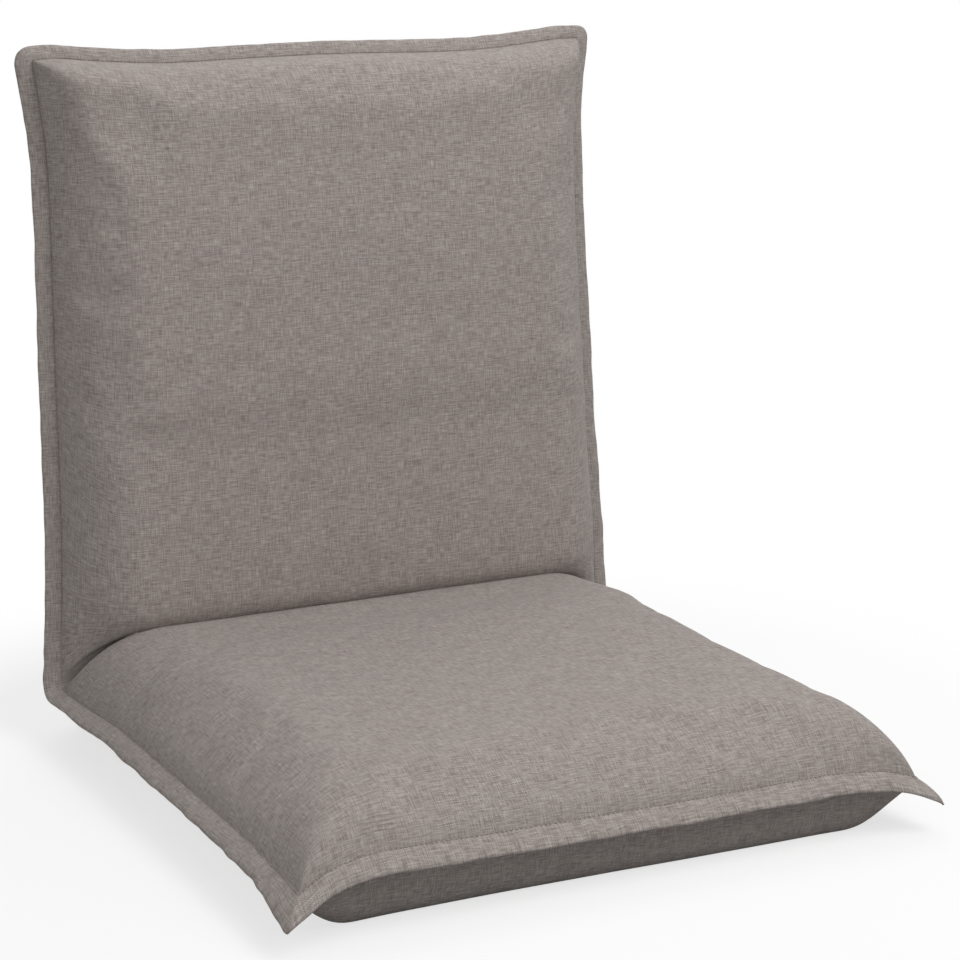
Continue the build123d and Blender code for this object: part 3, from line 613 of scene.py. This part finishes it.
def flange_points():
    """Grid of points round the sewn flange: section by section, once round the chair."""
    section = list(FLANGE_SECTION) + [(share, -half) for share, half in FLANGE_SECTION[-2::-1]]
    section.append(FLANGE_SECTION[0])
    seam_x, seam_s = flange_ring(FLANGE)
    at = np.stack((seam_x, seam_s, 0 * seam_x), -1)
    puckers = ripple(at / (8 * MM), 1)
    scallops = ripple(at / (13 * MM), 2) * (0.45 + 0.55 * smooth(0.08, -0.02, seam_s))
    waves = ripple(at / (40 * MM), 4)
    rings, places = [], []
    for share, half in section:
        out = max(share, 0)
        x, s = flange_ring(FLANGE * (1 - share) + SCALLOP * out ** 2 * scallops)
        x_drawn, s_drawn = settle_plan(x, s)
        base, normal = seam_place(s_drawn)
        level = seam_rise(x, s) - flange_lean(x, s) * out ** 1.2 + WAVE * out * waves
        thick = half * MM * (1 + PUCKER * puckers * sin(pi * out))
        pair = base + normal * (level + thick)[:, None]
        rings.append(droop(in_space(x_drawn, pair), x, s))
        places.append(np.stack((x, s), -1))
    return np.array(rings), np.array(places)


def flange(material):
    """Two plies of the cover, sewn together round the edge of the chair."""
    points, uv = flange_points()
    points = np.concatenate((points, points[:, :1]), 1)
    uv = np.concatenate((uv, uv[:, :1]), 1)
    mesh = bmesh.new()
    add_patch(mesh, points, uv)
    bmesh.ops.remove_doubles(mesh, verts=mesh.verts, dist=0.05 * MM)
    bmesh.ops.recalc_face_normals(mesh, faces=mesh.faces)
    return new_piece("cover_flange", mesh, material)


STITCH_PITCH = 3.6 * MM
STITCH = 2.5 * MM
THREAD = 0.28 * MM
STITCH_INSET = FLANGE * 0.94  # from the flange's edge
STITCH_LEVEL = 1.95 * MM  # half the thickness of the flange there


def add_bead(mesh, place, reach, turn):
    """Small ellipsoid of a few dozen faces, with its half lengths in its own turned axes."""
    shape = Matrix.Translation(place) @ turn.to_4x4() @ Matrix.Diagonal((*reach, 1))
    bead = bmesh.new()
    bmesh.ops.create_uvsphere(bead, u_segments=6, v_segments=5, radius=1, matrix=shape)
    data = bpy.data.meshes.new("bead")
    bead.to_mesh(data)
    bead.free()
    mesh.from_mesh(data)
    bpy.data.meshes.remove(data)


def seam_stitches(material):
    """Thread that shows on both plies along the inner line of the flange."""
    x, s = flange_ring(STITCH_INSET)
    x_drawn, s_drawn = settle_plan(x, s)
    base, normal = seam_place(s_drawn)
    middle = droop(in_space(x_drawn, base + normal * seam_rise(x, s)[:, None]), x, s)
    middle = np.concatenate((middle, middle[:1]))
    out = np.concatenate((normal, normal[:1]))
    run = run_along(middle)
    mesh = bmesh.new()
    for at in np.arange(0, run[-1] - STITCH_PITCH, STITCH_PITCH):
        ends = (at, at + STITCH)
        start, end = (Vector([np.interp(place, run, line) for line in middle.T]) for place in ends)
        away = Vector((0, *[np.interp(at, run, line) for line in out.T]))
        along = (end - start).normalized()
        turn = Matrix((along, away.cross(along), away)).transposed()
        for side in (1, -1):
            place = (start + end) / 2 + away * side * (STITCH_LEVEL + THREAD * 0.3)
            add_bead(mesh, place, (STITCH / 2, THREAD, THREAD), turn)
    return new_piece("seam_stitches", mesh, material)


# ------------------------------------------------------------------ zip
WELT_HALF = 4.9 * MM  # from the middle of the zip to its welt
WELT_CORNER = 3 * MM
WELT_CELLS = 79  # along the opening
WELT_SECTION = (  # way out from the opening and up from the cover, in mm
    (0.4, -1.2), (0.0, -0.2), (0.15, 0.7), (0.8, 1.25), (2.0, 1.3), (4.5, 1.0), (5.6, 0.5), (6.0, -0.4),
    (3.0, -1.3),
)


def on_rear(x, up, out):
    """Points on the rear side of the back: x, way up from the zip, and way out of the cover."""
    pair = np.array(ZIP_PLACE) + np.multiply.outer(up, BACK_UP) - np.multiply.outer(out, BACK_OUT)
    return in_space(x, pair)


def welt_path():
    """Points (x, up) round the zip's opening, and the way outwards at each."""
    run = chain_high.x + 2.5 * MM - WELT_CORNER
    path, aim = [], []
    for turn, side_x, side_up in ((0, 1, 1), (1, -1, 1), (2, -1, -1), (3, 1, -1)):
        middle = np.array((side_x * run, side_up * (WELT_HALF - WELT_CORNER)))
        for angle in np.linspace(0, pi / 2, 6) + turn * pi / 2:
            aim.append((cos(angle), sin(angle)))
            path.append(middle + WELT_CORNER * np.array(aim[-1]))
        if turn in (0, 2):
            for share in np.linspace(0, 1, WELT_CELLS + 1)[1:-1]:
                path.append(np.array((side_x * run * (1 - 2 * share), side_up * WELT_HALF)))
                aim.append((0, side_up))
    return np.array(path), np.array(aim)


def zip_welt(material):
    """Folded edge of the cover all round the zip's opening."""
    path, aim = welt_path()
    rows = []
    for out, up in WELT_SECTION + WELT_SECTION[:1]:
        ring = path + aim * out * MM
        rows.append(on_rear(ring[:, 0], ring[:, 1], np.full(len(ring), up * MM)))
    points = np.array(rows)
    points = np.concatenate((points, points[:, :1]), 1)
    uv = np.stack((points[..., 0], points[..., 2]), -1)
    mesh = bmesh.new()
    add_patch(mesh, points, uv)
    bmesh.ops.remove_doubles(mesh, verts=mesh.verts, dist=0.02 * MM)
    bmesh.ops.recalc_face_normals(mesh, faces=mesh.faces)
    return new_piece("zip_welt", mesh, material)


TOOTH_PITCH = 1.5 * MM
TOOTH = (0.62 * MM, 0.62 * MM, 1.5 * MM)  # half lengths
TOOTH_SHIFT = 0.55 * MM  # of each row from the middle
TOOTH_LEVEL = 1.15 * MM  # out of the rear of the cover
CHAIN_MARGIN = 2 * MM  # from either end of the zip's tape to its coil


def zip_coil(material):
    """The two rows of coil that mesh along the middle of the zip."""
    mesh = bmesh.new()
    count = int((chain_high.x - chain_low.x - 2 * CHAIN_MARGIN) / TOOTH_PITCH)
    tilt = Matrix.Rotation(-(BACK_ANGLE - pi / 2), 3, "X")
    for number in range(count):
        x = (number - (count - 1) / 2) * TOOTH_PITCH
        up = TOOTH_SHIFT * (1 if number % 2 else -1)
        place = on_rear(np.array(x), np.array(up), np.array(TOOTH_LEVEL))
        add_bead(mesh, Vector(place), TOOTH, tilt)
    return new_piece("zip_coil", mesh, material)


# ------------------------------------------------------------------ how far points follow the back at the hinge
# Angles about the hinge, in degrees from the seat, and the share of the back's turn there.
SITTING_ANGLES, SITTING_SHARES = (20, 56, 66, 78), (0, 0.36, 0.62, 1)
REAR_START, REAR_END = -40, -222  # from the underside of the seat round to the rear of the back
REAR_FROM = 140  # an angle past this one belongs to the rear


def fold_share(points):
    """How far each point follows the back as it folds: 0 on the seat, 1 on the back."""
    y, z = points[:, 1] - HINGE_Y, points[:, 2] - SEAM_Z
    angle = np.degrees(np.arctan2(z, -y))
    angle = np.where(angle > REAR_FROM, angle - 360, angle)
    sitting = np.interp(angle, SITTING_ANGLES, SITTING_SHARES)
    return np.where(angle < REAR_START, smooth(REAR_START, REAR_END, angle), sitting)


def bend_with_back(piece):
    """Bake a piece's place into its mesh, and work out how far each of its points would follow the back, a
    share that nothing then uses.
    """
    start, end = ((0, HINGE_Y + way, SEAM_Z) for way in (-MM, MM))
    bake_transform(piece)
    points = np.array([vert.co for vert in piece.data.vertices])
    share = fold_share(points).astype(np.float32)
    return piece


# ------------------------------------------------------------------ shaders
class Wire:
    """A socket of a shader. Sums and products of wires add the Math nodes that work them out."""

    def __init__(self, owner, socket):
        self.owner = owner
        self.socket = socket

    def maths(self, operation, *values):
        return self.owner.node("ShaderNodeMath", {"operation": operation}, dict(enumerate(values)))

    def __add__(self, other):
        return self.maths("ADD", self, other)

    def __radd__(self, other):
        return self.maths("ADD", other, self)

    def __sub__(self, other):
        return self.maths("SUBTRACT", self, other)

    def __rsub__(self, other):
        return self.maths("SUBTRACT", other, self)

    def __mul__(self, other):
        return self.maths("MULTIPLY", self, other)

    def __rmul__(self, other):
        return self.maths("MULTIPLY", other, self)


class Tree:
    """The nodes of a material or of the surround."""

    def __init__(self, tree):
        self.tree = tree

    def node(self, kind, settings=None, sockets=None, out=0):
        """Add a node: its settings first, then the values or links of its sockets."""
        node = self.tree.nodes.new(kind)
        for name, value in (settings or {}).items():
            if name == "stops":
                self.set_stops(node, value)
            else:
                setattr(node, name, value)
        for name, value in (sockets or {}).items():
            self.feed(node.inputs[name], value)
        return Wire(self, node.outputs[out])

    def set_stops(self, node, stops):
        """Give a colour ramp its stops, as pairs of a place and a colour."""
        elements = node.color_ramp.elements
        while len(elements) < len(stops):
            elements.new(0.5)
        for element, (place, colour) in zip(elements, stops):
            element.position = place
            element.color = colour

    def feed(self, socket, value):
        """Link a wire to a socket, or set the socket's own value."""
        if isinstance(value, Wire):
            self.tree.links.new(value.socket, socket)
        else:
            socket.default_value = value


class Paint(Tree):
    """A material made of nodes, round one Principled shader."""

    def __init__(self, name, constants):
        self.material = bpy.data.materials.new(name)
        self.material.use_nodes = True
        super().__init__(self.material.node_tree)
        self.shader = self.tree.nodes["Principled BSDF"]
        self.output = self.tree.nodes["Material Output"]
        for socket, value in constants.items():
            self.shader.inputs[socket].default_value = value

    def finish(self, bump, bump_height, strength, **varying):
        """Link what varies to the Principled shader, by the names of its sockets, and give it a relief."""
        for socket, value in varying.items():
            self.feed(self.shader.inputs[socket], value)
        sockets = {"Strength": strength, "Distance": bump_height, "Height": bump}
        self.feed(self.shader.inputs["Normal"], self.node("ShaderNodeBump", {}, sockets))
        return self.material


def linear(red, green, blue):
    """Shader colour of an 8 bit screen colour."""
    def channel(value):
        value /= 255
        return value / 12.92 if value <= 0.04045 else ((value + 0.055) / 1.055) ** 2.4
    return (channel(red), channel(green), channel(blue), 1)


def stretched_noise(paint, place, across, along, detail=2.0):
    """Noise of a UV place in metres, with lumps of the given width and length."""
    lumps = (1 / across, 1 / along, 1)
    scaled = paint.node("ShaderNodeVectorMath", {"operation": "MULTIPLY"}, {0: place, 1: lumps})
    return paint.node("ShaderNodeTexNoise", {"noise_dimensions": "2D"},
                      {"Vector": scaled, "Scale": 1, "Detail": detail, "Roughness": 0.5})


YARN = 0.78 * MM
SLUB = 8 * MM  # length of a thick or dark stretch of yarn
GATHER_PITCH = 3.4 * MM
GATHER_RELIEF = 2.4  # against the relief of the weave
YARNS = (  # width and length of the stretches of tone, and how much they weigh
    (SLUB, YARN, 0.44), (YARN, SLUB, 0.40), (3 * SLUB, 1.2 * YARN, 0.26), (1.2 * YARN, 3 * SLUB, 0.2),
)
PATCHES = ((22 * MM, 0.07), (3.2 * MM, 0.06))  # size of the patches of tone, and their weight
WEAVE_TONE = 0.04
MELANGE = (  # tone of the cloth, from its darkest yarns to its lightest
    (0.0, (100, 92, 87)), (0.36, (140, 131, 126)), (0.5, (160, 151, 146)), (0.66, (178, 170, 165)),
    (1.0, (212, 205, 200)),
)


def linen_weave():
    """Taupe melange upholstery cloth: plain weave of slubby yarns, light and dark."""
    paint = Paint("linen_weave", {
        "Roughness": 0.92, "Specular IOR Level": 0.25, "Sheen Weight": 0.12, "Sheen Roughness": 0.5,
    })
    place = paint.node("ShaderNodeUVMap", {"uv_map": "UVMap"})
    across = paint.node("ShaderNodeSeparateXYZ", {}, {0: place})
    up = Wire(paint, across.socket.node.outputs["Y"])
    over = across.maths("SINE", across * (pi / YARN)) * up.maths("SINE", up * (pi / YARN))
    yarns = [stretched_noise(paint, place, width, length, 1.0) for width, length, _ in YARNS]
    patches = [stretched_noise(paint, place, size, size) for size, _ in PATCHES]
    weights = [row[-1] for row in YARNS + PATCHES]
    tone = over * WEAVE_TONE + 0.5
    for layer, weight in zip(yarns + patches, weights):
        tone = tone + (layer - 0.5) * weight
    stops = [(share, linear(*colour)) for share, colour in MELANGE]
    colour = paint.node("ShaderNodeValToRGB", {"stops": stops}, {0: tone})
    gathers = paint.node("ShaderNodeAttribute", {"attribute_name": "gathers"}, {}, "Fac")
    weave = over * 0.5 + (yarns[0] + yarns[1]) * 0.6
    relief = weave + up.maths("SINE", up * (2 * pi / GATHER_PITCH)) * gathers * GATHER_RELIEF
    return paint.finish(relief, 0.35 * MM, 0.6, **{"Base Color": colour})


def plain(name, colour, roughness, metallic=0.0):
    """Finish with slight patches in its tone and roughness, for parts inside the cover."""
    paint = Paint(name, {"Metallic": metallic})
    place = paint.node("ShaderNodeTexCoord", {}, {}, "Object")
    patch = paint.node("ShaderNodeTexNoise", {}, {"Vector": place, "Scale": 160, "Detail": 4})
    grain = paint.node("ShaderNodeTexNoise", {}, {"Vector": place, "Scale": 1400, "Detail": 3})
    dark = tuple(channel * 0.75 for channel in colour[:3]) + (1,)
    tint = paint.node("ShaderNodeMix", {"data_type": "RGBA"}, {"Factor": patch, 6: dark, 7: colour}, 2)
    varying = {"Base Color": tint, "Roughness": patch * 0.2 + (roughness - 0.1)}
    return paint.finish(grain, 0.05 * MM, 0.4, **varying)


# ------------------------------------------------------------------ foam
FOAM_GAP = 3 * MM  # least way from the foam to the cover
FOAM_VOXEL = 6 * MM


def remeshed(node, material):
    """Bmesh of a node's foam in even cells."""
    mesh = bmesh.new()
    mesh.from_mesh(frame["nodes"][node].data)
    bmesh.ops.remove_doubles(mesh, verts=mesh.verts, dist=0.01 * MM)
    rough = new_piece(node + "_form", mesh, material)
    remesh = rough.modifiers.new("remesh", "REMESH")
    remesh.mode = "VOXEL"
    remesh.voxel_size = FOAM_VOXEL
    settled = rough.evaluated_get(bpy.context.evaluated_depsgraph_get())
    mesh = bmesh.new()
    mesh.from_mesh(bpy.data.meshes.new_from_object(settled))
    bpy.data.objects.remove(rough)
    return mesh


def foam_piece(node, material, cover):
    """Foam of one node with its edges worn round, kept inside the cover."""
    mesh = remeshed(node, material)
    for _ in range(4):
        bmesh.ops.smooth_vert(
            mesh, verts=mesh.verts, factor=0.5, use_axis_x=True, use_axis_y=True, use_axis_z=True)
    for _ in range(2):
        for vert in mesh.verts:
            place, normal, _, _ = cover.find_nearest(vert.co)
            depth = (place - vert.co).dot(normal)
            if depth < FOAM_GAP:
                vert.co -= normal * (FOAM_GAP - depth)
    piece = new_piece(node + "_block", mesh, material)
    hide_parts(node)
    return piece


# ------------------------------------------------------------------ studio
WHITE = (1, 1, 1, 1)
SURROUND_LIGHT = 0.25
LAMPS = (  # name, place, size and power
    ("key", (1.1, -1.3, 2.2), 1.6, 39),
    ("top", (0.2, -0.1, 2.6), 2.2, 7.5),
    ("fill", (-1.8, -1.2, 1.1), 1.6, 10),
    ("rim", (0.6, 1.4, 2.0), 1.6, 14),
)


def white_floor():
    """Floor that keeps a soft shadow near the chair and is pure white further out."""
    bpy.ops.mesh.primitive_plane_add(size=8)
    floor = bpy.context.active_object
    floor.name = "floor"
    paint = Paint("floor_white", {"Roughness": 0.9})
    rays = paint.node("ShaderNodeLightPath", {}, {}, "Is Camera Ray")
    tones = {"Factor": rays, 6: linear(172, 172, 172), 7: linear(250, 250, 250)}
    seen = paint.node("ShaderNodeMix", {"data_type": "RGBA"}, tones, 2)
    paint.feed(paint.shader.inputs["Base Color"], seen)
    white = paint.node("ShaderNodeEmission", {}, {"Color": WHITE, "Strength": 1})
    place = paint.node("ShaderNodeTexCoord", {}, {}, "Object")
    away = paint.node("ShaderNodeVectorMath", {"operation": "LENGTH"}, {0: place}, "Value")
    share = away.maths("SMOOTH_MIN", away.maths("MAXIMUM", away * 2.2 - 0.25, 0.7), 1.0, 0.2)
    lit = Wire(paint, paint.shader.outputs[0])
    mixed = paint.node("ShaderNodeMixShader", {}, {0: rays * share, 1: lit, 2: white})
    paint.feed(paint.output.inputs["Surface"], mixed)
    floor.data.materials.append(paint.material)


def white_surround():
    """Surround that the camera and the gloss see as pure white, and that lights the chair softly."""
    world = bpy.data.worlds.new("surround")
    bpy.context.scene.world = world
    world.use_nodes = True
    world.node_tree.nodes.clear()
    tree = Tree(world.node_tree)
    camera = tree.node("ShaderNodeLightPath", {}, {}, "Is Camera Ray")
    gloss = Wire(tree, camera.socket.node.outputs["Is Glossy Ray"])
    light = tree.node("ShaderNodeBackground", {}, {"Color": WHITE, "Strength": SURROUND_LIGHT})
    seen = tree.node("ShaderNodeBackground", {}, {"Color": WHITE, "Strength": 1})
    mix = tree.node("ShaderNodeMixShader", {}, {0: camera.maths("MAXIMUM", camera, gloss), 1: light, 2: seen})
    output = world.node_tree.nodes.new("ShaderNodeOutputWorld")
    tree.feed(output.inputs["Surface"], mix)


def soft_lamp(name, place, size, power):
    """Square lamp that looks at the middle of the chair."""
    data = bpy.data.lights.new(name, "AREA")
    data.size = size
    data.energy = power
    lamp = bpy.data.objects.new(name, data)
    lamp.location = place
    aim = Vector((0, 0.1, 0.25)) - Vector(place)
    lamp.rotation_euler = aim.to_track_quat("-Z", "Y").to_euler()
    bpy.context.scene.collection.objects.link(lamp)


CAMERA_PLACE = (-0.8585, -1.7036, 0.6931)
CAMERA_TURN = (-26.9, 13.7)  # degrees round the chair and down
LENS = 103.4
SENSOR = 36


def photo_camera():
    """Camera at the place and with the lens that the photograph was taken from."""
    azimuth, elevation = (radians(angle) for angle in CAMERA_TURN)
    data = bpy.data.cameras.new("camera")
    data.lens = LENS
    data.sensor_width = SENSOR
    camera = bpy.data.objects.new("camera", data)
    camera.location = CAMERA_PLACE
    ahead = Vector((-sin(azimuth) * cos(elevation), cos(azimuth) * cos(elevation), -sin(elevation)))
    camera.rotation_euler = ahead.to_track_quat("-Z", "Y").to_euler()
    bpy.context.scene.collection.objects.link(camera)
    bpy.context.scene.camera = camera


# ------------------------------------------------------------------ the chair
photo_camera()
white_floor()
white_surround()
for lamp in LAMPS:
    soft_lamp(*lamp)
cloth = linen_weave()
foam = plain("foam_cream", linear(214, 204, 178), 0.95)
body = cover_body(cloth)
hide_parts("seat_cover_top", "seat_cover_base", "seat_cover_heel",
            "back_cover_front", "back_cover_rear", "back_cover_heel", "cover_crease_rear")
bend_with_back(body)
edge = flange(cloth)
bend_with_back(edge)
levels = body.modifiers.new("subdivision", "SUBSURF")
levels.levels = levels.render_levels = 1
thread = plain("thread_taupe", linear(150, 142, 134), 0.7)
bend_with_back(seam_stitches(thread))
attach(zip_welt(cloth), "back")
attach(zip_coil(plain("coil_nylon", linear(92, 86, 80), 0.45)), "back")

corners = [vert.co for vert in body.data.vertices]
skin = BVHTree.FromPolygons(corners, [face.vertices for face in body.data.polygons])
for node in ("seat_foam_top", "seat_foam_base", "back_foam_front", "back_foam_rear"):
    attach(foam_piece(node, foam, skin), node.split("_")[0])
for node in ("seat_foam_heel", "back_foam_heel"):
    bend_with_back(foam_piece(node, foam, skin))

finishes = {
    "painted_tube": plain("black_powder_coat", linear(38, 38, 40), 0.45),
    "hinge_steel": plain("zinc_plate", linear(178, 180, 182), 0.35, metallic=1.0),
    "spring_steel": plain("blued_spring_steel", linear(96, 98, 104), 0.3, metallic=1.0),
    "zip_nylon": plain("zip_tape", linear(112, 104, 98), 0.7),
    "zip_metal": plain("zip_nickel", linear(186, 184, 178), 0.25, metallic=1.0),
}
finish_of = {  # by the first of these words in the name of a node
    "frame_tube": "painted_tube", "cross_tube": "painted_tube", "plate": "hinge_steel",
    "pawl_pin": "hinge_steel", "rivet": "hinge_steel", "spring": "spring_steel", "chain": "zip_nylon",
    "slider": "zip_metal", "pull": "zip_metal", "pawl": "hinge_steel",
}
for name, node in frame["nodes"].items():
    finish = next((finishes[finish_of[word]] for word in finish_of if word in name), None)
    if finish is not None:
        for place in node.material_slots:
            place.material = finish

bpy.context.scene.view_settings.view_transform = "Standard"
